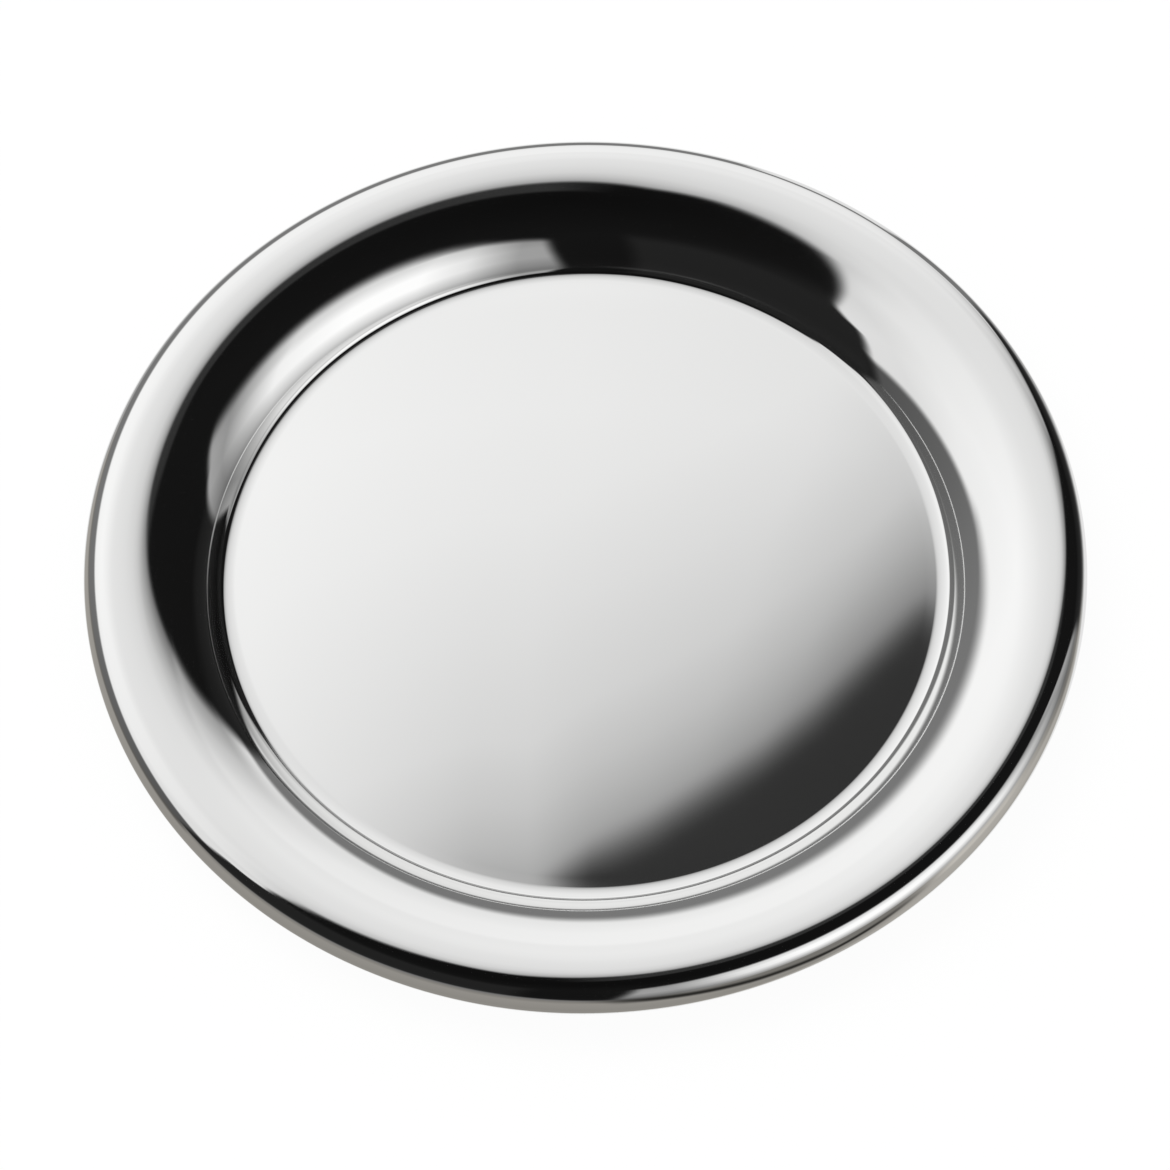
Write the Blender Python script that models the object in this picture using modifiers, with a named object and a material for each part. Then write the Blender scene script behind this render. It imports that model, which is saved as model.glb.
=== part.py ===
"""Wine bottle coaster: a mirror-polished dish pressed from one steel sheet, with a gently domed floor,
a narrow gutter, a steep wall, a wide flare and a rolled rim, on a felt pad glued under it.

Metres, +Z up. The origin is on the table, under the middle of the pad, and everything is turned
about the Z axis. All lengths follow from the named sizes below.
"""
import math

import bmesh
import bpy

# The dish, from its edge inwards. Slopes are in degrees from level.
outer_diameter = 0.140      # across the rolled edge at its widest
sheet_thickness = 0.0010    # polished stainless steel sheet
roll_radius = 0.0036        # outside radius of the rolled edge
roll_turn = 150             # how far the sheet turns from the crest, outwards and under
raw_edge_rounding = 0.0003  # deburring of the sheet's cut edge, under the rim
crown_radius = 0.0480       # nearly level top of the rim, inside the crest
crown_slope = 2.6           # slope where the rim's top turns into the flare
flare_radius = 0.0203       # wide convex flare
flare_slope = 30            # slope where the flare turns into the wall
wall_radius = 0.0101        # convex wall, which steepens downwards
wall_slope = 60             # slope of the wall at its foot
corner_radius = 0.0010      # tight corner at the foot of the wall
gutter_slope = 10           # slope that the gutter reaches at the corner
gutter_radius = 0.0053      # hollow of the gutter, between the floor and the corner
dome_radius = 0.3600        # gentle dome of the floor, which is highest in its middle

# The base pad and the film of glue that holds it.
pad_lap = 0.0008            # how far the pad reaches beyond the ring that it is glued to
pad_thickness = 0.0020      # stiff wool felt
pad_edge_rounding = 0.0004
glue_film = 0.0003

# Facets: steps round the axis, and steps along each arc of the dish's section.
turn_steps = 80
pad_steps = 80
dome_steps = 6
gutter_steps = 3
corner_steps = 4
wall_steps = 5
flare_steps = 6
crown_steps = 2
roll_steps = 12
rounding_steps = 2

STEEL = ("polished_steel", (0.80, 0.80, 0.79, 1.0), 1.0, 0.04)
FELT = ("charcoal_felt", (0.035, 0.035, 0.037, 1.0), 0.0, 0.95)


class Section:
    """Half of a turned section, drawn outwards from a point by tangent arcs."""

    def __init__(self, radius, height):
        self.slope = 0.0
        self.points = [(radius, height)]

    def bend(self, bend_radius, slope, steps):
        """Turns to another slope along an arc: upwards if it's steeper, downwards if it's less."""
        radius, height = self.points[-1]
        start, end = self.slope, math.radians(slope)
        way = 1 if end > start else -1
        for step in range(1, steps + 1):
            angle = start + (end - start) * step / steps
            self.points.append((radius + way * bend_radius * (math.sin(angle) - math.sin(start)),
                                height + way * bend_radius * (math.cos(start) - math.cos(angle))))
        self.slope = end


def reach(bend_radius, low_slope, high_slope):
    """How far an arc between two slopes goes outwards."""
    return bend_radius * (math.sin(math.radians(high_slope)) - math.sin(math.radians(low_slope)))


def ring_radius():
    """Radius of the gutter's lowest ring: what the rim, the flare, the wall and its foot leave."""
    rim = roll_radius + reach(crown_radius, 0, crown_slope)
    flare = reach(flare_radius, crown_slope, flare_slope)
    wall = reach(wall_radius, flare_slope, wall_slope)
    foot = reach(corner_radius, gutter_slope, wall_slope) + reach(gutter_radius, 0, gutter_slope)
    return outer_diameter / 2 - rim - flare - wall - foot


def floor_edge_slope():
    """How steeply the domed floor falls where it meets the gutter, in radians from level."""
    return math.asin(ring_radius() / (dome_radius + gutter_radius))


def middle_height():
    """Height of the floor's middle over the table: the gutter's ring rests on the pad."""
    gutter_height = pad_thickness + glue_film + sheet_thickness
    return gutter_height + (dome_radius + gutter_radius) * (1 - math.cos(floor_edge_slope()))


def clear_scene():
    for old in list(bpy.data.objects):
        bpy.data.objects.remove(old, do_unlink=True)


def new_collection(name):
    collection = bpy.data.collections.new(name)
    bpy.context.scene.collection.children.link(collection)
    return collection


def new_material(name, colour, metallic, roughness):
    material = bpy.data.materials.new(name)
    material.diffuse_color = colour
    material.use_nodes = True
    shader = material.node_tree.nodes["Principled BSDF"]
    shader.inputs["Base Color"].default_value = colour
    shader.inputs["Metallic"].default_value = metallic
    shader.inputs["Roughness"].default_value = roughness
    return material


def add_object(name, mesh, collection, material):
    part = bpy.data.objects.new(name, mesh)
    mesh.materials.append(material)
    collection.objects.link(part)
    return part


def add_bevel(part, width, steps, least_angle):
    bevel = part.modifiers.new("Bevel", 'BEVEL')
    bevel.width = width
    bevel.segments = steps
    bevel.limit_method = 'ANGLE'
    bevel.angle_limit = math.radians(least_angle)
    return bevel


def make_dish(collection):
    """The pressed dish: its visible face is turned from one section and thickened downwards."""
    section = Section(0, middle_height())
    section.bend(dome_radius, -math.degrees(floor_edge_slope()), dome_steps)
    section.bend(gutter_radius, gutter_slope, gutter_steps)
    section.bend(corner_radius, wall_slope, corner_steps)
    section.bend(wall_radius, flare_slope, wall_steps)
    section.bend(flare_radius, crown_slope, flare_steps)
    section.bend(crown_radius, 0, crown_steps)
    section.bend(roll_radius, -roll_turn, roll_steps)

    mesh = bpy.data.meshes.new("dish_section")
    last = len(section.points) - 1
    mesh.from_pydata([(radius, 0, height) for radius, height in section.points],
                     [(index, index + 1) for index in range(last)], [])
    dish = add_object("rolled_rim_dish", mesh, collection, new_material(*STEEL))

    screw = dish.modifiers.new("Turn about Z", 'SCREW')
    screw.steps = turn_steps
    screw.render_steps = turn_steps
    screw.use_merge_vertices = True
    screw.merge_threshold = 0.00001
    screw.use_smooth_shade = True

    solidify = dish.modifiers.new("Sheet thickness", 'SOLIDIFY')
    solidify.thickness = sheet_thickness
    solidify.offset = -1
    solidify.use_even_offset = True

    add_bevel(dish, raw_edge_rounding, rounding_steps, 60)
    return dish


def make_base_pad(collection):
    """The felt disc glued under the gutter's ring, which the coaster stands on."""
    mesh = bpy.data.meshes.new("base_pad")
    shape = bmesh.new()
    pad_radius = ring_radius() + pad_lap
    bmesh.ops.create_cone(shape, cap_ends=True, segments=pad_steps, radius1=pad_radius,
                          radius2=pad_radius, depth=pad_thickness)
    shape.to_mesh(mesh)
    shape.free()
    mesh.shade_smooth()
    mesh.set_sharp_from_angle(angle=math.radians(30))
    pad = add_object("felt_base_pad", mesh, collection, new_material(*FELT))
    pad.location.z = pad_thickness / 2
    add_bevel(pad, pad_edge_rounding, rounding_steps, 60)
    return pad


clear_scene()
coaster = new_collection("wine_bottle_coaster")
make_dish(coaster)
make_base_pad(coaster)
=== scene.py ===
"""Looks of the wine bottle coaster: a mirror-polished dish pressed from one steel sheet, with a gently
domed floor, a steep wall, a wide flare and a rolled rim, on a felt pad that is glued under it.

Metres, +Z up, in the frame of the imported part. The origin is on the table, under the middle of the
pad. The dish is a mirror, so what it shows is its own section and the studio round it: the section is
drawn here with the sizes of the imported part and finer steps, and the studio has a dark room, a white
wall, a bright window and a grey table at the angles at which the photograph's metal shows them.
"""
from __future__ import annotations

import math
from dataclasses import dataclass
from enum import Enum
from functools import partial, reduce
from typing import Sequence, Union

import bpy
from mathutils import Matrix, Vector, noise


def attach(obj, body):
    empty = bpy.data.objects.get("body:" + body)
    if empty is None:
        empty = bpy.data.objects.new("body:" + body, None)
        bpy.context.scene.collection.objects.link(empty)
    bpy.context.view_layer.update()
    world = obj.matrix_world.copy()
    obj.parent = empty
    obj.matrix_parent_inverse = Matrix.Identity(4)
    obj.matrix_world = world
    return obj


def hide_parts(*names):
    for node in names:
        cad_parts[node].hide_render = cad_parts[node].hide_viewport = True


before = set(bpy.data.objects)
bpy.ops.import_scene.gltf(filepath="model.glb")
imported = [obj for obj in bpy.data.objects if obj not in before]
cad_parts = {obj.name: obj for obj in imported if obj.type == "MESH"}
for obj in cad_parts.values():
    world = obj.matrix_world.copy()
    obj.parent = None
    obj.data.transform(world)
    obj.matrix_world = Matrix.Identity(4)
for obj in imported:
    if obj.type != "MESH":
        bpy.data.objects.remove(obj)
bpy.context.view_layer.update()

FULL_TURN = 360.0
QUARTER_TURN = 90.0
SCREEN_OFFSET = 0.055
SCREEN_POWER = 2.4
POLISH_NAME = "polish"
UNREFLECTED_RAYS = ("camera", "diffuse", "transmission", "volume_scatter", "shadow")

Socket = bpy.types.NodeSocket
Value = Union[float, Socket]
Point = tuple[float, float]
Colour = tuple[float, float, float, float]
Stops = Sequence[Point]

WHITE: Colour = (1.0, 1.0, 1.0, 1.0)


class Body(Enum):
    """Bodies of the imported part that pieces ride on."""

    ROOT = "root"


class PackedNode(Enum):
    """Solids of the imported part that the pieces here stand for."""

    DISH = "rolled_rim_dish"
    PAD = "felt_base_pad"


class Slot(Enum):
    """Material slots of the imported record."""

    STEEL = "polished_steel"
    FELT = "charcoal_felt"


class Mixed(Enum):
    """What a Mix node mixes, with the numbers of its two inputs and of its output."""

    FLOAT = (2, 3, 0)
    RGBA = (6, 7, 2)


@dataclass(frozen=True)
class Grain:
    """A noise pattern: the length of one grain, in metres, and the number of finer layers."""

    size: float
    detail: float = 2.0


class NodeDesk:
    """Adds and links the nodes of one tree, so that a finish reads as a short list of steps."""

    def __init__(self, tree: bpy.types.NodeTree) -> None:
        """Starts on a tree, whose nodes are removed first."""
        self.tree = tree
        tree.nodes.clear()

    def feed(self, target: Socket, value: object) -> None:
        """Links a socket to an input, or sets the input to a plain value.

        Args:
            target: The input socket.
            value: Another node's output socket, or a number, colour or vector.
        """
        if isinstance(value, bpy.types.NodeSocket):
            self.tree.links.new(value, target)
        else:
            target.default_value = value

    def add(self, kind: str, inputs: dict[str | int, object] | None = None,
            **settings: object) -> bpy.types.Node:
        """Adds one node.

        Args:
            kind: Blender's name of the node type.
            inputs: What goes to its inputs, by their names or numbers: sockets or plain values.
            settings: Attributes to set on the node.

        Returns:
            The new node.
        """
        node = self.tree.nodes.new(kind)
        for name, setting in settings.items():
            setattr(node, name, setting)
        for name, value in (inputs or {}).items():
            self.feed(node.inputs[name], value)
        return node

    def math(self, operation: str, *values: Value) -> Socket:
        """Adds a Math node, by Blender's name of its operation, and gives its result."""
        return self.add("ShaderNodeMath", dict(enumerate(values)), operation=operation).outputs[0]

    def minus(self, value: Value, other: Value) -> Socket:
        """Takes the second number from the first."""
        return self.math("SUBTRACT", value, other)

    def product(self, *values: Value) -> Socket:
        """Multiplies two or more numbers."""
        return reduce(partial(self.math, "MULTIPLY"), values)

    def most(self, *values: Value) -> Socket:
        """Gives the largest of two or more numbers."""
        return reduce(partial(self.math, "MAXIMUM"), values)

    def wrapped(self, angle: Value, least: float) -> Socket:
        """Brings an angle, in degrees, into the full turn that starts at the least one."""
        return self.math("WRAP", angle, least + FULL_TURN, least)

    def rise(self, value: Value, start: Value, end: Value) -> Socket:
        """Gives 0 before start, 1 after end and a soft S between. With end below start it falls."""
        limits = {"Value": value, "From Min": start, "From Max": end}
        return self.add("ShaderNodeMapRange", limits, interpolation_type="SMOOTHSTEP").outputs["Result"]

    def above(self, value: Value, edge: Value, softness: Value) -> Socket:
        """Gives 1 above an edge and 0 below it, softly over the softness on either side."""
        return self.rise(value, self.minus(edge, softness), self.math("ADD", edge, softness))

    def below(self, value: Value, edge: Value, softness: Value) -> Socket:
        """Gives 1 below an edge and 0 above it, softly over the softness on either side."""
        return self.rise(value, self.math("ADD", edge, softness), self.minus(edge, softness))

    def between(self, value: Value, edges: tuple[Value, Value], softness: tuple[Value, Value]) -> Socket:
        """Gives 1 between two edges and 0 outside them, with a softness for each edge."""
        up = self.above(value, edges[0], softness[0])
        return self.product(up, self.below(value, edges[1], softness[1]))

    def follow(self, value: Value, stops: Stops) -> Socket:
        """Gives a number that follows stops, straight between them and level beyond.

        Args:
            value: What is measured.
            stops: Pairs of a value and the result there, in rising order.

        Returns:
            The result's socket.
        """
        places, results = zip(*stops)
        low = min(results)
        span = (max(results) - low) or 1.0
        first, reach = places[0], places[-1] - places[0]
        limits = {"Value": value, "From Min": first, "From Max": places[-1]}
        scaled = self.add("ShaderNodeMapRange", limits)
        ramp = self.add("ShaderNodeValToRGB", {"Fac": scaled.outputs["Result"]})
        elements = ramp.color_ramp.elements
        while len(elements) < len(stops):
            elements.new(0.5)
        for element, (place, result) in zip(elements, stops):
            element.position = (place - first) / reach
            share = (result - low) / span
            element.color = (share, share, share, 1.0)
        limits = {"Value": ramp.outputs["Color"], "To Min": low, "To Max": low + span}
        return self.add("ShaderNodeMapRange", limits, clamp=False).outputs["Result"]

    def blend(self, share: Value, under: object, over: object, kind: Mixed = Mixed.FLOAT) -> Socket:
        """Mixes two numbers or two colours.

        Args:
            share: How much of the second, from 0 to 1.
            under: The first number or colour, or its socket.
            over: The second number or colour, or its socket.
            kind: Whether they are numbers or colours.

        Returns:
            The result's socket.
        """
        first, second, result = kind.value
        inputs = {"Factor": share, first: under, second: over}
        return self.add("ShaderNodeMix", inputs, data_type=kind.name).outputs[result]

    def place(self) -> Socket:
        """Gives the point on the surface, in the object's own coordinates."""
        return self.add("ShaderNodeTexCoord").outputs["Object"]

    def mapped(self, vector: Socket, **changes: tuple[float, float, float]) -> Socket:
        """Turns or stretches a vector, by a Rotation or a Scale."""
        return self.add("ShaderNodeMapping", {"Vector": vector, **changes}).outputs["Vector"]

    def grain(self, vector: Socket, grain: Grain) -> Socket:
        """Gives a noise pattern from 0 to 1, read at a vector."""
        inputs = {"Vector": vector, "Scale": 1.0 / grain.size, "Detail": grain.detail}
        return self.add("ShaderNodeTexNoise", inputs).outputs["Fac"]

    def bump(self, height: Socket, depth: float, **under: Socket) -> Socket:
        """Turns a pattern of this depth, in metres, into a normal, over another Normal if one is given."""
        inputs = {"Strength": 1.0, "Distance": depth, "Height": height, **under}
        return self.add("ShaderNodeBump", inputs).outputs["Normal"]


def new_material(name: str) -> tuple[bpy.types.Material, NodeDesk]:
    """Makes an empty node material.

    Args:
        name: The material's name.

    Returns:
        The material and the desk of its tree.
    """
    material = bpy.data.materials.new(name)
    material.use_nodes = True
    return material, NodeDesk(material.node_tree)


def new_object(name: str, thing: object) -> bpy.types.Object:
    """Puts a mesh, a lamp or a camera into the scene.

    Args:
        name: The object's name.
        thing: Its mesh, lamp or camera.

    Returns:
        The object, at the origin.
    """
    made = bpy.data.objects.new(name, thing)
    bpy.context.scene.collection.objects.link(made)
    return made


@dataclass(frozen=True)
class Finish:
    """A material with one Principled shader."""

    name: str

    def inputs(self, desk: NodeDesk) -> dict[str, object]:
        """Gives the shader's inputs, sockets or plain values, by name. Each finish has its own."""
        raise NotImplementedError

    def material(self) -> bpy.types.Material:
        """Builds the material.

        Returns:
            The finished material.
        """
        material, desk = new_material(self.name)
        shader = desk.add("ShaderNodeBsdfPrincipled", self.inputs(desk))
        desk.add("ShaderNodeOutputMaterial", {"Surface": shader.outputs["BSDF"]})
        return material


@dataclass(frozen=True)
class MirrorSteel(Finish):
    """Polished stainless steel, with a satin back and a plain cut edge inside the roll."""

    name: str = "mirror_polished_steel"
    colour: Colour = (0.90, 0.90, 0.895, 1.0)
    haze: Grain = Grain(0.018, 4.0)
    mirror_roughness: Stops = ((0.3, 0.035), (0.75, 0.055))
    satin_roughness: Stops = ((0.2, 0.25), (0.8, 0.38))
    sheet_wave: Grain = Grain(0.022, 1.0)
    sheet_wave_depth: float = 0.0000010
    spin_lines: Grain = Grain(0.00035, 3.0)
    spin_line_depth: float = 0.0000012

    def inputs(self, desk: NodeDesk) -> dict[str, object]:
        """Gives the shader's inputs, which read the polish attribute of the mesh."""
        polish = desk.add("ShaderNodeAttribute", attribute_name=POLISH_NAME).outputs["Fac"]
        place = desk.place()
        mirror = desk.follow(desk.grain(place, self.haze), self.mirror_roughness)
        rings = self.spin_rings(desk, place)
        satin = desk.follow(rings, self.satin_roughness)
        wave = desk.bump(desk.grain(place, self.sheet_wave), self.sheet_wave_depth)
        satin_lines = desk.product(rings, desk.minus(1.0, polish))
        return {"Base Color": self.colour, "Metallic": 1.0,
                "Roughness": desk.blend(polish, satin, mirror),
                "Normal": desk.bump(satin_lines, self.spin_line_depth, Normal=wave)}

    def spin_rings(self, desk: NodeDesk, place: Socket) -> Socket:
        """Draws the fine rings that finishing on a lathe leaves.

        Args:
            desk: The material's desk.
            place: The point on the surface.

        Returns:
            A pattern from 0 to 1 that changes only with radius and height.
        """
        parts = desk.add("ShaderNodeSeparateXYZ", {"Vector": place}).outputs
        x, y = parts["X"], parts["Y"]
        radius = desk.math("SQRT", desk.math("ADD", desk.product(x, x), desk.product(y, y)))
        joined = desk.add("ShaderNodeCombineXYZ", {"X": radius, "Z": parts["Z"]})
        return desk.grain(joined.outputs["Vector"], self.spin_lines)


@dataclass(frozen=True)
class WoolFelt(Finish):
    """Dense charcoal wool felt with matted fibres and lighter flecks."""

    name: str = "charcoal_wool_felt"
    dark: Colour = (0.026, 0.026, 0.028, 1.0)
    light: Colour = (0.060, 0.060, 0.063, 1.0)
    fleck: Colour = (0.13, 0.13, 0.13, 1.0)
    roughness: float = 0.96
    sheen: float = 0.35
    sheen_roughness: float = 0.55
    sheen_tint: Colour = (0.5, 0.5, 0.52, 1.0)
    specular_level: float = 0.2
    fibre_length: float = 0.0022
    fibre_width: float = 0.00022
    fibre_turns: tuple[float, ...] = (10.0, 75.0, 130.0)
    fibre_rise: Point = (0.48, 0.64)
    fibre_share: float = 0.75
    fleck_rise: Point = (0.63, 0.74)
    mats: Grain = Grain(0.0035, 3.0)
    mat_shares: Stops = ((0.30, 0.0), (0.70, 0.25))
    depth: float = 0.00012

    def inputs(self, desk: NodeDesk) -> dict[str, object]:
        """Gives the shader's inputs: dark ground, matted fibres and flecks."""
        place = desk.place()
        strands = self.strands(desk, place)
        mats = desk.follow(desk.grain(place, self.mats), self.mat_shares)
        fibres = desk.product(desk.rise(strands, *self.fibre_rise), self.fibre_share)
        ground = desk.blend(desk.math("ADD", mats, fibres), self.dark, self.light, Mixed.RGBA)
        flecks = desk.rise(strands, *self.fleck_rise)
        return {"Base Color": desk.blend(flecks, ground, self.fleck, Mixed.RGBA),
                "Roughness": self.roughness, "Sheen Weight": self.sheen,
                "Sheen Roughness": self.sheen_roughness, "Sheen Tint": self.sheen_tint,
                "Specular IOR Level": self.specular_level,
                "Normal": desk.bump(strands, self.depth)}

    def strands(self, desk: NodeDesk, place: Socket) -> Socket:
        """Draws short fibres that lie in a few directions.

        Args:
            desk: The material's desk.
            place: The point on the surface.

        Returns:
            A pattern from 0 to 1, high on a fibre.
        """
        layers = []
        for turn in self.fibre_turns:
            turned = desk.mapped(place, Rotation=(0.0, 0.0, math.radians(turn)))
            drawn = desk.mapped(turned, Scale=(self.fibre_width / self.fibre_length, 1.0, 1.0))
            layers.append(desk.grain(drawn, Grain(self.fibre_width)))
        return desk.most(*layers)


@dataclass(frozen=True)
class ClearGlue(Finish):
    """Pale contact glue, pressed thin, with a dull skin."""

    name: str = "pressed_glue"
    thin: Colour = (0.60, 0.55, 0.44, 1.0)
    thick: Colour = (0.42, 0.36, 0.26, 1.0)
    blobs: Grain = Grain(0.0018, 3.0)
    thick_rise: Point = (0.35, 0.7)
    roughness: Stops = ((0.3, 0.35), (0.7, 0.6))
    depth: float = 0.00003

    def inputs(self, desk: NodeDesk) -> dict[str, object]:
        """Gives the shader's inputs, darker where the glue is thick."""
        blobs = desk.grain(desk.place(), self.blobs)
        thickness = desk.rise(blobs, *self.thick_rise)
        return {"Base Color": desk.blend(thickness, self.thin, self.thick, Mixed.RGBA),
                "Roughness": desk.follow(blobs, self.roughness),
                "Normal": desk.bump(blobs, self.depth)}


class Contour:
    """Half of a turned section, drawn point by point with tangent arcs."""

    def __init__(self, start: Point) -> None:
        """Starts a contour at a radius and a height, level outwards."""
        self.points: list[Point] = [start]
        self.slopes: list[float] = [0.0]

    def bend(self, bend_radius: float, slope: float, steps: int) -> None:
        """Turns to another slope along an arc, upwards if it is steeper and downwards if it is less.

        Args:
            bend_radius: Radius of the arc.
            slope: The slope at its end, in degrees from level.
            steps: Number of equal steps.
        """
        radius, height = self.points[-1]
        start, end = math.radians(self.slopes[-1]), math.radians(slope)
        way = 1 if end > start else -1
        for step in range(1, steps + 1):
            angle = start + (end - start) * step / steps
            outwards = math.sin(angle) - math.sin(start)
            upwards = math.cos(start) - math.cos(angle)
            self.points.append((radius + way * bend_radius * outwards,
                                height + way * bend_radius * upwards))
            self.slopes.append(math.degrees(angle))


@dataclass
class TurnedShell:
    """Turns a section about the Z axis with a Geometry Nodes tree and gives a plain mesh."""

    name: str
    outline: list[Point]
    finish: bpy.types.Material
    steps_round: int
    polish: Sequence[float] = ()
    merge_distance: float = 0.0000015

    def tree(self) -> bpy.types.GeometryNodeTree:
        """Builds the node tree, whose named inputs are its sizes and finish.

        Returns:
            The tree.
        """
        tree = bpy.data.node_groups.new(self.name + "_turning", "GeometryNodeTree")
        for name, kind in (("Section", "Geometry"), ("Steps Round", "Int"), ("Merge Distance", "Float"),
                           ("Finish", "Material")):
            tree.interface.new_socket(name, in_out="INPUT", socket_type="NodeSocket" + kind)
        tree.interface.new_socket("Shell", in_out="OUTPUT", socket_type="NodeSocketGeometry")
        desk = NodeDesk(tree)
        given = desk.add("NodeGroupInput").outputs
        section, steps = given["Section"], given["Steps Round"]
        size = desk.add("GeometryNodeAttributeDomainSize", {"Geometry": section}, component="MESH")
        count = size.outputs["Point Count"]
        rows = desk.math("ADD", steps, 1.0)
        grid = desk.add("GeometryNodeMeshGrid", {"Vertices X": rows, "Vertices Y": count})
        index = desk.add("GeometryNodeInputIndex").outputs["Index"]
        station = desk.math("MODULO", index, count)
        turn = desk.math("FLOOR", desk.math("DIVIDE", desk.math("ADD", index, 0.5), count))
        angle = desk.math("DIVIDE", desk.product(turn, math.tau), steps)
        position = desk.add("GeometryNodeInputPosition").outputs["Position"]
        picked = self.sample(desk, section, "FLOAT_VECTOR", position, station)
        rotated = desk.add("ShaderNodeVectorRotate", {"Vector": picked, "Angle": angle},
                           rotation_type="Z_AXIS")
        read = desk.add("GeometryNodeInputNamedAttribute", {"Name": POLISH_NAME}, data_type="FLOAT")
        share = self.sample(desk, section, "FLOAT", read.outputs["Attribute"], station)
        shell = desk.add("GeometryNodeSetPosition",
                         {"Geometry": grid.outputs["Mesh"], "Position": rotated.outputs["Vector"]})
        shell = desk.add("GeometryNodeStoreNamedAttribute",
                         {"Geometry": shell.outputs["Geometry"], "Name": POLISH_NAME, "Value": share},
                         data_type="FLOAT", domain="POINT")
        for kind, inputs in (("MergeByDistance", {"Distance": given["Merge Distance"]}), ("FlipFaces", {}),
                             ("SetShadeSmooth", {}), ("RealizeInstances", {}),
                             ("SetMaterial", {"Material": given["Finish"]})):
            shell = desk.add("GeometryNode" + kind, {0: shell.outputs[0], **inputs})
        desk.add("NodeGroupOutput", {"Shell": shell.outputs[0]})
        return tree

    def sample(self, desk: NodeDesk, source: Socket, kind: str, value: Socket,
               station: Socket) -> Socket:
        """Reads a value of the section at the point that has the station's number."""
        inputs = {"Geometry": source, "Value": value, "Index": station}
        return desk.add("GeometryNodeSampleIndex", inputs, data_type=kind, domain="POINT").outputs["Value"]

    def build(self) -> bpy.types.Object:
        """Turns the section.

        Returns:
            A plain mesh object at the origin, closed, with its faces outwards.
        """
        section = bpy.data.meshes.new(self.name + "_section")
        edges = [(index, index + 1) for index in range(len(self.outline) - 1)]
        section.from_pydata([(radius, 0.0, height) for radius, height in self.outline], edges, [])
        shares = section.attributes.new(POLISH_NAME, "FLOAT", "POINT")
        shares.data.foreach_set("value", self.polish or [0.0] * len(self.outline))
        source = new_object(self.name + "_source", section)
        tree = self.tree()
        turning = source.modifiers.new("Turning", "NODES")
        turning.node_group = tree
        sockets = {item.name: item.identifier for item in tree.interface.items_tree}
        turning[sockets["Steps Round"]] = self.steps_round
        turning[sockets["Merge Distance"]] = self.merge_distance
        turning[sockets["Finish"]] = self.finish
        graph = bpy.context.evaluated_depsgraph_get()
        mesh = bpy.data.meshes.new_from_object(source.evaluated_get(graph), depsgraph=graph)
        mesh.name = self.name
        source.modifiers.remove(turning)
        bpy.data.objects.remove(source, do_unlink=True)
        return new_object(self.name, mesh)


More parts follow.
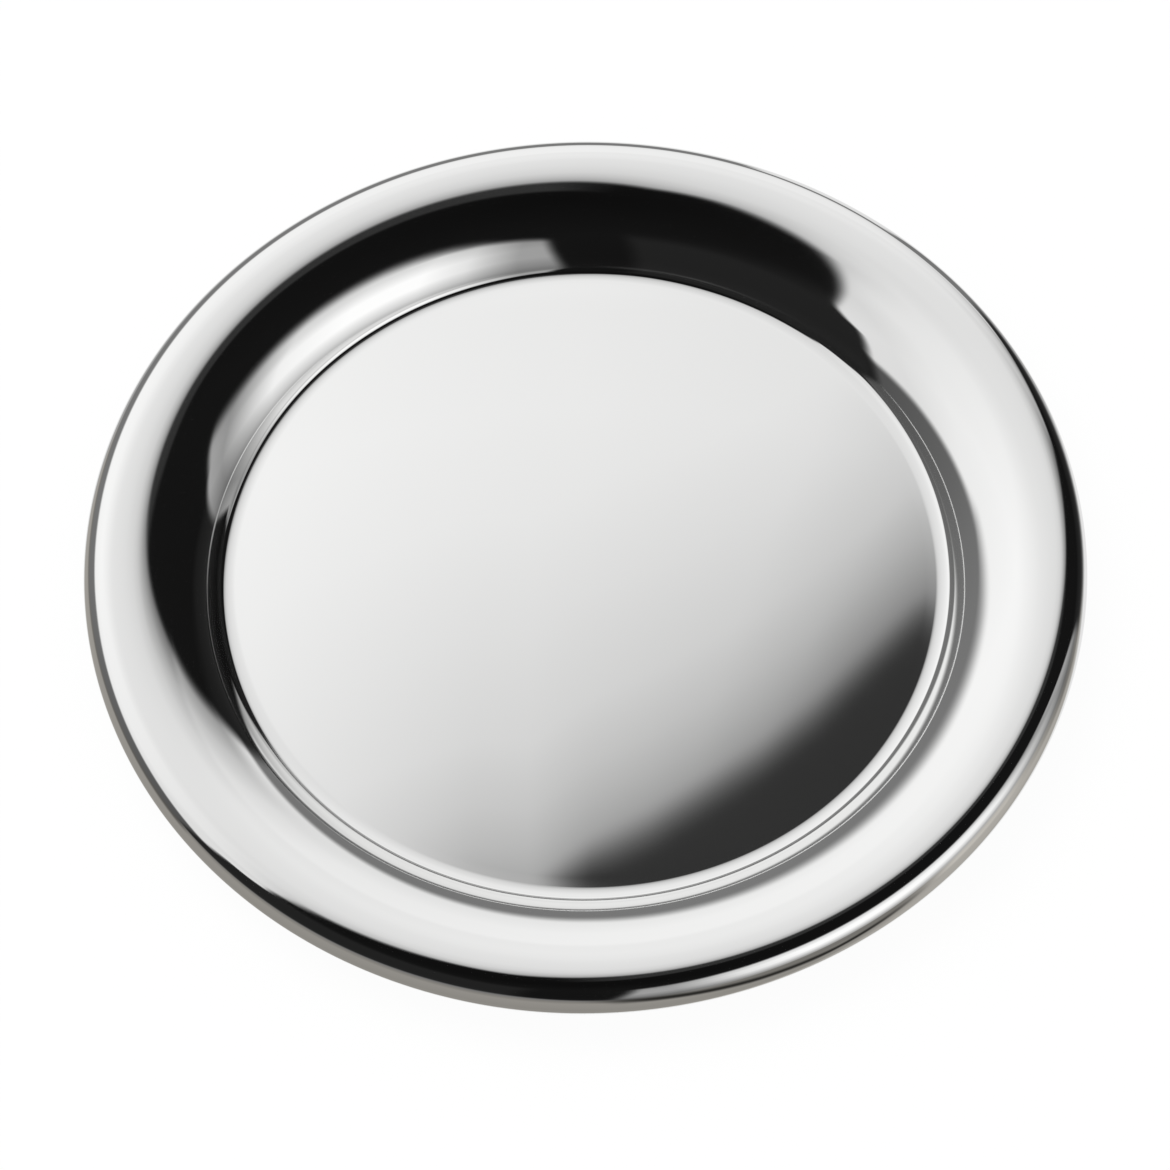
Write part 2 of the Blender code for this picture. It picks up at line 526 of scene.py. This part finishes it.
@dataclass
class RolledRimDish:
    """The pressed dish: domed floor, gutter, corner, wall, flare, crown and rolled edge.

    Slopes are in degrees from level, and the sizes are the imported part's. The roll and the crown beside
    it are eased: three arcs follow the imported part's single one, within 0.15 mm. The hidden face of the
    sheet has coarser steps than the visible one.
    """

    name: str = "polished_rolled_rim_dish"
    outer_diameter: float = 0.140
    sheet_thickness: float = 0.0010
    roll_arcs: tuple[Point, ...] = ((0.0083, 15.0), (0.0027, 60.0), (0.0038, 150.0))
    crown_radius: float = 0.03263
    crown_slope: float = 2.6
    flare_radius: float = 0.0203
    flare_slope: float = 30.0
    wall_radius: float = 0.0101
    wall_slope: float = 60.0
    corner_radius: float = 0.0010
    gutter_slope: float = 10.0
    gutter_radius: float = 0.0053
    dome_radius: float = 0.3600
    underside_height: float = 0.0023
    edge_rounding: float = 0.0003
    edge_steps: int = 4
    dome_steps: int = 36
    gutter_steps: int = 14
    corner_steps: int = 18
    wall_steps: int = 28
    flare_steps: int = 36
    crown_steps: int = 10
    roll_step: float = 2.5
    hidden_steps: float = 0.4
    polish_turn: float = 105.0
    polish_fade: float = 25.0
    steps_round: int = 300
    finish: MirrorSteel = MirrorSteel()

    def reach(self, bend_radius: float, low_slope: float, high_slope: float) -> float:
        """Gives how far an arc between two slopes, in degrees, goes outwards."""
        return bend_radius * (math.sin(math.radians(high_slope)) - math.sin(math.radians(low_slope)))

    def ring_radius(self) -> float:
        """Gives the radius of the gutter's lowest ring, which the other sizes leave."""
        rim = self.reach(self.crown_radius, 0.0, self.crown_slope)
        start = 0.0
        for radius, turn in self.roll_arcs:
            rim += self.reach(radius, start, min(turn, QUARTER_TURN))
            start = turn
        flare = self.reach(self.flare_radius, self.crown_slope, self.flare_slope)
        wall = self.reach(self.wall_radius, self.flare_slope, self.wall_slope)
        corner = self.reach(self.corner_radius, self.gutter_slope, self.wall_slope)
        gutter = self.reach(self.gutter_radius, 0.0, self.gutter_slope)
        return self.outer_diameter / 2 - rim - flare - wall - corner - gutter

    def floor_fall(self) -> float:
        """Gives the slope of the domed floor where it meets the gutter, in degrees."""
        return math.degrees(math.asin(self.ring_radius() / (self.dome_radius + self.gutter_radius)))

    def middle_height(self) -> float:
        """Gives the height of the floor's middle over the table."""
        fall = 1.0 - math.cos(math.radians(self.floor_fall()))
        rise = (self.dome_radius + self.gutter_radius) * fall
        return self.underside_height + self.sheet_thickness + rise

    def face(self, depth: float) -> Contour:
        """Draws one face of the sheet from the middle of the floor to the end of the roll.

        Args:
            depth: How far the face lies below the visible one, 0 or the sheet's thickness.

        Returns:
            The contour.
        """
        arcs = [(self.dome_radius - depth, -self.floor_fall(), self.dome_steps),
                (self.gutter_radius + depth, self.gutter_slope, self.gutter_steps),
                (self.corner_radius + depth, self.wall_slope, self.corner_steps),
                (self.wall_radius - depth, self.flare_slope, self.wall_steps),
                (self.flare_radius - depth, self.crown_slope, self.flare_steps),
                (self.crown_radius - depth, 0.0, self.crown_steps)]
        start = 0.0
        for radius, turn in self.roll_arcs:
            arcs.append((radius - depth, -turn, (turn - start) / self.roll_step))
            start = turn
        share = self.hidden_steps if depth else 1.0
        line = Contour((0.0, self.middle_height() - depth))
        for radius, slope, steps in arcs:
            line.bend(radius, slope, round(steps * share))
        return line

    def outline(self) -> tuple[list[Point], list[float]]:
        """Joins both faces round the cut edge.

        Returns:
            The closed section's points, from the axis to the axis, and each point's polish.
        """
        top, under = self.face(0.0), self.face(self.sheet_thickness)
        turn = math.radians(-self.roll_arcs[-1][1])
        back = Vector((-math.cos(turn), -math.sin(turn)))
        outer, inner = Vector(top.points[-1]), Vector(under.points[-1])
        across = (inner - outer).normalized()
        edge: list[Point] = []
        for corner, first, second in ((outer, back, across), (inner, -across, back)):
            start = corner + first * self.edge_rounding
            end = corner + second * self.edge_rounding
            centre = start + end - corner
            for step in range(self.edge_steps + 1):
                angle = math.pi / 2 * step / self.edge_steps
                reach = (start - centre) * math.cos(angle) + (end - centre) * math.sin(angle)
                edge.append(tuple(centre + reach))
        unpolished = edge + list(reversed(under.points[:-1]))
        shares = self.polish_of(top)[:-1] + [0.0] * len(unpolished)
        return top.points[:-1] + unpolished, shares

    def polish_of(self, line: Contour) -> list[float]:
        """Gives each point's share of polish on the visible face, which fades inside the roll."""
        shares = [1.0 + (slope + self.polish_turn) / self.polish_fade for slope in line.slopes]
        return [max(0.0, min(1.0, share)) for share in shares]

    def build(self) -> None:
        """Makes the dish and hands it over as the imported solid's stand-in."""
        points, polish = self.outline()
        dish = TurnedShell(self.name, points, self.finish.material(), self.steps_round, polish).build()
        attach(dish, Body.ROOT.value)
        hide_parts(PackedNode.DISH.value)


@dataclass
class GlueLine:
    """The pressed ring of glue between the felt pad and the dish, under the gutter."""

    name: str = "glue_film"
    ring_radius: float = 0.04969
    half_width: float = 0.0007
    half_steps: int = 4
    seat_radius: float = 0.0063
    bottom: float = 0.00201
    top: float = 0.00229
    edge_swell: float = 0.00012
    wander: float = 0.0003
    wander_size: float = 0.006
    steps_round: int = 240
    finish: ClearGlue = ClearGlue()

    def outline(self) -> list[Point]:
        """Draws the film's closed section, whose top follows the underside of the gutter.

        Returns:
            The section's points, from the middle of its top all round and back.
        """
        half = self.half_steps
        offsets = [self.half_width * step / half for step in range(-half, half + 1)]
        top = [(self.ring_radius + offset, self.top + offset * offset / (2 * self.seat_radius))
               for offset in offsets]
        middle, reach = (self.top + self.bottom) / 2, self.half_width + self.edge_swell
        swell = [(self.ring_radius + side * reach, middle) for side in (1, -1)]
        bottom = [(radius, self.bottom) for radius, _ in reversed(top)]
        return [*top[half:], swell[0], *bottom, swell[1], *top[:half + 1]]

    def build(self) -> None:
        """Makes the film, whose edge wanders as pressed glue's does."""
        film = TurnedShell(self.name, self.outline(), self.finish.material(), self.steps_round).build()
        for vertex in film.data.vertices:
            radius = vertex.co.xy.length
            wander = noise.noise(Vector((vertex.co.x, vertex.co.y, 0.0)) / self.wander_size)
            vertex.co.xy *= 1.0 + self.wander * wander / radius
        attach(film, Body.ROOT.value)


@dataclass
class FeltPad:
    """The round felt pad that the coaster stands on, with a cut edge that isn't quite even."""

    name: str = "wool_felt_pad"
    radius: float = 0.05048
    thickness: float = 0.0020
    edge_rounding: float = 0.00045
    edge_steps: int = 5
    side_heights: tuple[float, ...] = (0.62, 0.5, 0.38)
    surface_wander: float = 0.00003
    edge_wander: float = 0.00012
    wander_size: float = 0.0016
    rings: int = 26
    steps_round: int = 300
    finish: WoolFelt = WoolFelt()

    def outline(self) -> list[Point]:
        """Draws the pad's section, with soft edges.

        Returns:
            The section's points, from the axis to the axis.
        """
        flat = self.radius - self.edge_rounding
        top = [(flat * ring / self.rings, self.thickness) for ring in range(self.rings)]
        upper = self.corner(flat, self.thickness - self.edge_rounding, QUARTER_TURN)
        side = [(self.radius, self.thickness * share) for share in self.side_heights]
        lower = self.corner(flat, self.edge_rounding, 0.0)
        bottom = [(radius, 0.0) for radius, _ in reversed(top)]
        return top + upper + side + lower + bottom

    def corner(self, radius: float, height: float, start: float) -> list[Point]:
        """Draws a quarter round of the edge.

        Args:
            radius: Radius of the quarter's centre.
            height: Height of the quarter's centre.
            start: Its first angle above level, in degrees; it goes down from there by 90.

        Returns:
            Its points.
        """
        points = []
        for step in range(self.edge_steps + 1):
            angle = math.radians(start - QUARTER_TURN * step / self.edge_steps)
            points.append((radius + self.edge_rounding * math.cos(angle),
                           height + self.edge_rounding * math.sin(angle)))
        return points

    def build(self) -> None:
        """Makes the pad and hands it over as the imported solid's stand-in."""
        pad = TurnedShell(self.name, self.outline(), self.finish.material(), self.steps_round).build()
        for vertex in pad.data.vertices:
            self.roughen(vertex)
        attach(pad, Body.ROOT.value)
        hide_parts(PackedNode.PAD.value)

    def roughen(self, vertex: bpy.types.MeshVertex) -> None:
        """Moves one point of the pad inwards a little, as matted fibres lie.

        Args:
            vertex: The point to move.
        """
        place = vertex.co.copy()
        amount = 0.5 + 0.5 * noise.noise(place / self.wander_size)
        radius = place.xy.length
        if radius > self.radius - self.edge_rounding:
            vertex.co.xy *= 1.0 - self.edge_wander * amount / radius
        middle = self.thickness / 2
        away = (place.z - middle) / middle
        vertex.co.z -= away * self.surface_wander * amount


def linear_light(desk: NodeDesk, tone: Socket, reflectance: float) -> Socket:
    """Turns a tone, as a screen shows it in metal of this reflectance, into light."""
    lifted = desk.math("DIVIDE", desk.math("ADD", tone, SCREEN_OFFSET), 1.0 + SCREEN_OFFSET)
    return desk.math("DIVIDE", desk.math("POWER", lifted, SCREEN_POWER), reflectance)


@dataclass(frozen=True)
class DarkRoom:
    """The dark room round the table. Azimuths run from the right by the near side, in degrees."""

    tones: Stops = ((-20.0, 0.12), (0.0, 0.09), (20.0, 0.075), (60.0, 0.078), (90.0, 0.052))
    screen_sides: Point = (103.1, 165.6)
    screen_softness: Point = (3.0, 3.0)
    screen_top: float = 57.6
    screen_top_softness: float = 8.0
    screen_lift: float = 0.054
    gap_sides: Point = (295.0, 345.0)
    gap_softness: Point = (3.0, 3.0)
    gap_tones: Stops = ((-30.0, 0.72), (-20.0, 0.57), (-12.0, 0.36), (-6.0, 0.22), (0.0, 0.16),
                        (10.0, 0.13), (20.0, 0.11), (40.0, 0.0))
    ground_sides: Point = (70.0, 172.0)
    ground_side_softness: Point = (8.0, 6.0)
    ground_top: Stops = ((80.0, -2.9), (100.0, 2.5), (120.0, 3.2), (145.0, -0.2), (165.0, -3.7))
    ground_softness: float = 5.1
    ground_tones: Stops = ((-20.0, 0.561), (0.0, 0.440), (12.0, 0.498))


@dataclass(frozen=True)
class GreyTable:
    """The warm grey table in front of and beside the coaster, which the rolled edge shows from below.

    A dark seam runs through it on the right, and a light cloth lies on its far side.
    """

    least_azimuth: float = -20.0
    top: Stops = ((-20.0, -24.0), (90.0, -24.0), (160.0, -20.0), (190.0, -13.0), (240.0, -14.0),
                  (290.0, -24.0), (340.0, -24.0))
    softness: float = 7.0
    tones: Stops = ((-90.0, 0.56), (-60.0, 0.55), (-30.0, 0.57), (-20.0, 0.57))
    side_shares: Stops = ((-20.0, 1.10), (0.0, 1.17), (20.0, 1.15), (35.0, 1.0), (100.0, 0.97),
                          (170.0, 0.98), (200.0, 1.02), (225.0, 1.10), (300.0, 1.12), (340.0, 1.10))
    seam: Stops = ((20.0, -22.0), (30.0, -27.0), (45.0, -36.0), (60.0, -29.5), (75.0, -16.0),
                   (92.0, -3.0))
    seam_sides: Point = (32.0, 86.0)
    seam_side_softness: Point = (8.0, 8.0)
    seam_width: float = 15.0
    seam_tone: float = 0.15
    cloth_sides: Point = (228.0, 336.0)
    cloth_side_softness: Point = (6.0, 6.0)
    cloth_top: Stops = ((228.0, -44.0), (245.0, -29.0), (262.0, -24.0), (285.0, -14.0), (300.0, -41.0),
                        (315.0, -27.0), (330.0, -25.0), (340.0, -34.0))
    cloth_softness: float = 8.0
    cloth_tone: float = 0.88
    warm: Colour = (1.03, 0.985, 0.91, 1.0)
    warm_heights: Point = (4.0, -12.0)


@dataclass(frozen=True)
class WhiteWall:
    """The white wall and ceiling on the far side, and the grey table end under them.

    Its upper edge is a line in the slopes of a sight line: how far it goes to the right and away from
    the camera for each unit up. A dim strip lies just outside that edge on the right.
    """

    left: Stops = ((-20.0, 169.9), (27.0, 164.5), (43.0, 166.1), (47.0, 163.4), (60.0, 162.9))
    right: Stops = ((-20.0, 299.8), (12.0, 301.5), (24.0, 304.6), (40.0, 305.4), (50.0, 305.6),
                    (60.0, 304.5))
    left_softness: float = 2.5
    right_softness: Stops = ((0.0, 2.0), (40.0, 2.4))
    right_fall: Stops = ((0.0, 0.62), (3.0, 0.73), (7.0, 0.86), (13.0, 0.96), (20.0, 1.0))
    right_fall_heights: Point = (16.0, 26.0)
    edge: Stops = ((-1.10, -0.50), (-0.96, -0.411), (-0.51, -0.041), (-0.256, 0.159), (-0.10, 0.216),
                   (-0.05, 0.206), (-0.02, 0.236), (0.0, 0.254), (0.05, 0.283), (0.10, 0.321),
                   (0.15, 0.362), (0.20, 0.415), (0.25, 0.480), (0.30, 0.547), (0.60, 0.84), (1.10, 1.45))
    edge_softness: Stops = ((-1.0, 0.030), (-0.4, 0.035), (-0.15, 0.051), (0.0, 0.030), (0.3, 0.033))
    edge_ends: Point = (40.0, 44.0)
    tones: Stops = ((5.0, 0.878), (30.0, 0.947), (50.0, 0.951), (62.0, 0.920), (78.0, 0.896))
    side_shares: Stops = ((165.0, 0.913), (180.0, 0.910), (200.0, 0.971), (235.0, 1.015), (270.0, 0.989),
                          (302.0, 0.93))
    fall: Stops = ((0.0, 0.667), (0.03, 0.728), (0.06, 0.79), (0.10, 0.851), (0.17, 0.915), (0.30, 0.951),
                   (0.45, 0.974))
    fall_sides: Point = (-0.50, 0.0)
    strip_rise: Point = (-0.17, -0.12)
    strip_left: Point = (-0.04, 0.03)
    strip_right: Point = (0.42, 0.34)
    strip_tone: float = 0.19
    table_end: Stops = ((163.0, 21.5), (180.0, 26.1), (195.0, 28.6), (210.0, 30.8), (225.0, 27.2),
                        (245.0, 20.0), (270.0, 13.6), (302.0, 14.5))
    table_softness: Stops = ((163.0, 4.8), (200.0, 4.7), (240.0, 8.0), (270.0, 4.6), (302.0, 1.8))
    table_tones: Stops = ((163.0, 0.30), (172.0, 0.33), (184.0, 0.36), (196.0, 0.39), (208.0, 0.43),
                          (220.0, 0.45), (256.0, 0.47), (302.0, 0.45))
    stripe_sides: Point = (280.0, 292.0)
    stripe_softness: Point = (2.0, 2.0)
    stripe_top: float = 2.2
    stripe_top_softness: float = 4.0
    stripe_tone: float = 0.87


@dataclass(frozen=True)
class BrightWindow:
    """A bright window in the dark room. Azimuths are from the right, negative on the far side."""

    least_azimuth: float = -90.0
    left: float = -20.0
    right: Stops = ((0.0, 86.4), (57.0, 80.9))
    side_softness: Point = (1.6, 2.2)
    top: Stops = ((-22.0, 45.5), (-10.0, 50.5), (0.0, 54.5), (10.0, 57.5), (20.0, 59.6), (30.0, 60.9),
                  (40.0, 61.4), (50.0, 61.0), (60.0, 59.6), (75.0, 55.1), (87.0, 50.0))
    top_softness: float = 5.2
    tones: Stops = ((-22.0, 0.65), (-12.0, 0.58), (0.0, 0.807), (8.0, 0.945), (30.0, 0.997), (50.0, 0.995),
                    (62.0, 0.891), (75.0, 0.619), (87.0, 0.614))
    shares: Stops = ((-20.0, 0.771), (-8.0, 0.738), (2.0, 0.70), (10.0, 0.84), (25.0, 1.0), (40.0, 0.998),
                     (55.0, 0.862))
    chair_sides: Point = (27.7, 74.9)
    chair_side_softness: Point = (8.0, 8.0)
    chair_top: float = -3.5
    chair_softness: float = 4.2
    chair_tone: float = 0.449


class TentPainter:
    """Paints the tent zone by zone, by a sight line's angles, in degrees, and its slopes."""

    def __init__(self, desk: NodeDesk, tent: Surroundings) -> None:
        """Measures the sight line to a point of the tent.

        Args:
            desk: The tent's desk.
            tent: The surroundings to paint.
        """
        self.desk, self.tent = desk, tent
        normal = desk.add("ShaderNodeVectorMath", {0: desk.place()}, operation="NORMALIZE")
        parts = desk.add("ShaderNodeSeparateXYZ", {"Vector": normal.outputs["Vector"]})
        x, y, z = parts.outputs
        turned = desk.math("DEGREES", desk.math("ARCTAN2", desk.product(y, -1.0), x))
        rise = desk.most(z, tent.least_rise)
        self.turn = desk.wrapped(turned, 0.0)
        self.height = desk.math("DEGREES", desk.math("ARCSINE", z))
        self.across, self.away = desk.math("DIVIDE", x, rise), desk.math("DIVIDE", y, rise)

    def tint(self) -> Socket:
        """Gives the colour of the light: warm from the grey table and white from the rest.

        Returns:
            The colour's socket.
        """
        desk, table = self.desk, self.tent.table
        cloth = desk.between(self.turn, table.cloth_sides, table.cloth_side_softness)
        low = desk.rise(self.height, *table.warm_heights)
        return desk.blend(desk.product(low, desk.minus(1.0, cloth)), WHITE, table.warm, Mixed.RGBA)

    def room(self) -> Socket:
        """Paints the dark room, with a lighter screen on the left and the ground in front.

        Returns:
            The room's tone.
        """
        desk, turn, height, room = self.desk, self.turn, self.height, self.tent.room
        screen = desk.product(desk.between(turn, room.screen_sides, room.screen_softness),
                              desk.below(height, room.screen_top, room.screen_top_softness),
                              room.screen_lift)
        tone = desk.math("ADD", desk.follow(height, room.tones), screen)
        gap = desk.product(desk.between(turn, room.gap_sides, room.gap_softness),
                           desk.follow(height, room.gap_tones))
        ground = desk.product(desk.between(turn, room.ground_sides, room.ground_side_softness),
                              desk.below(height, desk.follow(turn, room.ground_top), room.ground_softness))
        return desk.blend(ground, desk.most(tone, gap), desk.follow(height, room.ground_tones))

    def wall(self, tone: Socket) -> Socket:
        """Adds the white wall and ceiling, and the grey table end under them.

        Args:
            tone: The tone without them.

        Returns:
            The tone with them.
        """
        desk, turn, height, wall = self.desk, self.turn, self.height, self.tent.wall
        across = self.across
        inside = desk.minus(self.away, desk.follow(across, wall.edge))
        high = desk.rise(height, *wall.edge_ends)
        strip = desk.product(desk.rise(inside, *wall.strip_rise), desk.rise(across, *wall.strip_left),
                             desk.rise(across, *wall.strip_right), high)
        tone = desk.blend(strip, tone, wall.strip_tone)
        shaded = desk.product(desk.rise(across, *wall.fall_sides), high)
        fall = desk.blend(shaded, 1.0, desk.follow(inside, wall.fall))
        right = desk.follow(height, wall.right)
        right_fall = desk.blend(desk.rise(height, *wall.right_fall_heights), 1.0,
                                desk.follow(desk.minus(right, turn), wall.right_fall))
        white = desk.product(desk.follow(height, wall.tones), fall, right_fall,
                             desk.follow(turn, wall.side_shares))
        low = desk.below(height, desk.follow(turn, wall.table_end), desk.follow(turn, wall.table_softness))
        inner = desk.blend(low, white, desk.follow(turn, wall.table_tones))
        stripe = desk.product(desk.between(turn, wall.stripe_sides, wall.stripe_softness),
                              desk.below(height, wall.stripe_top, wall.stripe_top_softness),
                              wall.stripe_tone)
        inner = desk.most(inner, stripe)
        sides = desk.between(turn, (desk.follow(height, wall.left), right),
                             (wall.left_softness, desk.follow(height, wall.right_softness)))
        under = desk.above(inside, 0.0, desk.follow(across, wall.edge_softness))
        under = desk.most(under, desk.rise(height, *reversed(wall.edge_ends)))
        return desk.blend(desk.product(sides, under), tone, inner)

    def window(self, tone: Socket) -> Socket:
        """Adds the bright window in the dark room, with a chair in front of it.

        Args:
            tone: The tone without it.

        Returns:
            The tone with it.
        """
        desk, height, window = self.desk, self.height, self.tent.window
        turn = desk.wrapped(self.turn, window.least_azimuth)
        sides = desk.between(turn, (window.left, desk.follow(height, window.right)), window.side_softness)
        under = desk.below(height, desk.follow(turn, window.top), window.top_softness)
        light = desk.product(desk.follow(turn, window.tones), desk.follow(height, window.shares))
        chair = desk.product(desk.between(turn, window.chair_sides, window.chair_side_softness),
                             desk.below(height, window.chair_top, window.chair_softness))
        light = desk.blend(chair, light, window.chair_tone)
        return desk.blend(desk.product(sides, under), tone, light)

    def table(self, tone: Socket) -> Socket:
        """Adds the grey table under the horizon, with its seam and the cloth.

        Args:
            tone: The tone without them.

        Returns:
            The tone with them.
        """
        desk, height, table = self.desk, self.height, self.tent.table
        turn = desk.wrapped(self.turn, table.least_azimuth)
        grey = desk.product(desk.follow(height, table.tones), desk.follow(turn, table.side_shares))
        tone = desk.blend(desk.below(height, desk.follow(turn, table.top), table.softness), tone, grey)
        off_seam = desk.math("ABSOLUTE", desk.minus(height, desk.follow(turn, table.seam)))
        seam = desk.product(desk.rise(off_seam, table.seam_width, 0.0),
                            desk.between(turn, table.seam_sides, table.seam_side_softness))
        tone = desk.blend(seam, tone, table.seam_tone)
        cloth = desk.product(desk.below(height, desk.follow(turn, table.cloth_top), table.cloth_softness),
                             desk.between(turn, table.cloth_sides, table.cloth_side_softness))
        return desk.blend(cloth, tone, table.cloth_tone)


@dataclass
class Surroundings:
    """The studio as the metal sees it: a wide round tent that only reflections show."""

    radius: float = 40.0
    rings: int = 48
    steps_round: int = 96
    reflectance: float = 0.90
    least_rise: float = 0.05
    room: DarkRoom = DarkRoom()
    wall: WhiteWall = WhiteWall()
    window: BrightWindow = BrightWindow()
    table: GreyTable = GreyTable()

    def build(self) -> None:
        """Makes the tent, which only glossy rays see."""
        angles = [math.pi * step / self.rings for step in range(1, self.rings)]
        inner = [(self.radius * math.sin(angle), self.radius * math.cos(angle)) for angle in angles]
        points = [(0.0, self.radius), *inner, (0.0, -self.radius)]
        tent = TurnedShell("light_tent", points, self.material(), self.steps_round).build()
        for kind in UNREFLECTED_RAYS:
            setattr(tent, "visible_" + kind, False)

    def material(self) -> bpy.types.Material:
        """Paints the tent's inside.

        Returns:
            The material, which gives light and no shading.
        """
        material, desk = new_material("light_tent")
        material.cycles.emission_sampling = "NONE"
        painter = TentPainter(desk, self)
        tone = painter.table(painter.window(painter.wall(painter.room())))
        strength = linear_light(desk, tone, self.reflectance)
        glow = desk.add("ShaderNodeEmission", {"Color": painter.tint(), "Strength": strength})
        desk.add("ShaderNodeOutputMaterial", {"Surface": glow.outputs["Emission"]})
        return material


@dataclass
class Studio:
    """White floor and world, and one soft lamp, at a plain level."""

    floor_radius: float = 6.0
    floor_height: float = -0.0002
    floor_steps: int = 96
    shadow_share: float = 0.05
    shadow_reach: float = 0.35
    world_level: float = 0.75
    lamp_power: float = 7.9
    lamp_size: float = 1.1
    lamp_place: tuple[float, float, float] = (-0.55, 0.35, 1.15)

    def build(self) -> None:
        """Makes the floor, the world and the lamp."""
        self.build_floor()
        self.build_world()
        self.build_lamp()

    def seen_directly(self, desk: NodeDesk) -> Socket:
        """Gives 1 for camera, glossy and transmission rays and 0 for the others."""
        path = desk.add("ShaderNodeLightPath").outputs
        return desk.most(path["Is Camera Ray"], path["Is Glossy Ray"], path["Is Transmission Ray"])

    def build_floor(self) -> None:
        """Makes the white floor, which keeps a light shadow round the coaster."""
        material, desk = new_material("white_floor")
        white = desk.add("ShaderNodeEmission", {"Strength": 1.0})
        paper = desk.add("ShaderNodeBsdfDiffuse", {"Color": WHITE})
        length = desk.add("ShaderNodeVectorMath", {0: desk.place()}, operation="LENGTH").outputs["Value"]
        near = desk.rise(length, self.shadow_reach, self.shadow_reach / 2)
        plain = desk.minus(1.0, desk.product(near, self.shadow_share))
        share = desk.product(self.seen_directly(desk), plain)
        mixed = desk.add("ShaderNodeMixShader",
                         {0: share, 1: paper.outputs["BSDF"], 2: white.outputs["Emission"]})
        desk.add("ShaderNodeOutputMaterial", {"Surface": mixed.outputs["Shader"]})
        material.cycles.emission_sampling = "NONE"
        mesh = bpy.data.meshes.new("white_floor")
        angles = [math.tau * step / self.floor_steps for step in range(self.floor_steps)]
        radius, height = self.floor_radius, self.floor_height
        ring = [(radius * math.cos(angle), radius * math.sin(angle), height) for angle in angles]
        mesh.from_pydata(ring, [], [tuple(range(self.floor_steps))])
        mesh.materials.append(material)
        floor = new_object("white_floor", mesh)
        floor.visible_glossy = False

    def build_world(self) -> None:
        """Makes the world: white where it is seen, and a plain level where it lights."""
        world = bpy.data.worlds.new("white_studio")
        world.use_nodes = True
        desk = NodeDesk(world.node_tree)
        level = desk.blend(self.seen_directly(desk), self.world_level, 1.0)
        sky = desk.add("ShaderNodeBackground", {"Color": WHITE, "Strength": level})
        desk.add("ShaderNodeOutputWorld", {"Surface": sky.outputs["Background"]})
        bpy.context.scene.world = world

    def build_lamp(self) -> None:
        """Makes the soft lamp over the table, which doesn't show in the metal."""
        lamp = bpy.data.lights.new("soft_lamp", "AREA")
        lamp.shape = "DISK"
        lamp.size = self.lamp_size
        lamp.energy = self.lamp_power
        holder = new_object("soft_lamp", lamp)
        place = Vector(self.lamp_place)
        holder.location = place
        holder.rotation_euler = place.to_track_quat("Z", "Y").to_euler()
        holder.visible_glossy = False


@dataclass
class PhotoCamera:
    """The photograph's camera, found from the rim's outline. Angles are in degrees."""

    elevation: float = 59.484
    roll: float = -0.95
    distance: float = 1.332
    target_height: float = 0.006854
    aim_below: float = 0.002529
    aim_left: float = 0.000082
    lens: float = 293.72
    sensor: float = 36.0
    clip: Point = (0.05, 100.0)

    def build(self) -> None:
        """Makes the camera and gives it to the scene."""
        lens = bpy.data.cameras.new("photo_camera")
        lens.lens = self.lens
        lens.sensor_width = self.sensor
        lens.clip_start, lens.clip_end = self.clip
        camera = new_object("photo_camera", lens)
        rise, roll = math.radians(self.elevation), math.radians(self.roll)
        back = Vector((0.0, -math.cos(rise), math.sin(rise)))
        level_up = Vector((0.0, math.sin(rise), math.cos(rise)))
        across = Vector((1.0, 0.0, 0.0))
        up = across * -math.sin(roll) + level_up * math.cos(roll)
        right = across * math.cos(roll) + level_up * math.sin(roll)
        target = Vector((0.0, 0.0, self.target_height))
        place = target + back * self.distance
        aim = target - up * self.aim_below - right * self.aim_left
        behind = (place - aim).normalized()
        over = behind.cross(right).normalized()
        turned = Matrix((right, over, behind)).transposed()
        camera.matrix_world = Matrix.Translation(place) @ turned.to_4x4()
        bpy.context.scene.camera = camera


def write_sizes() -> None:
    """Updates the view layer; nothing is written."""
    bpy.context.view_layer.update()


def main() -> None:
    """Builds the coaster, its studio and the camera."""
    bpy.context.scene.view_settings.view_transform = "Standard"
    for thing in (RolledRimDish(), GlueLine(), FeltPad(), Surroundings(), Studio(), PhotoCamera()):
        thing.build()
    write_sizes()


if __name__ == "__main__":
    main()
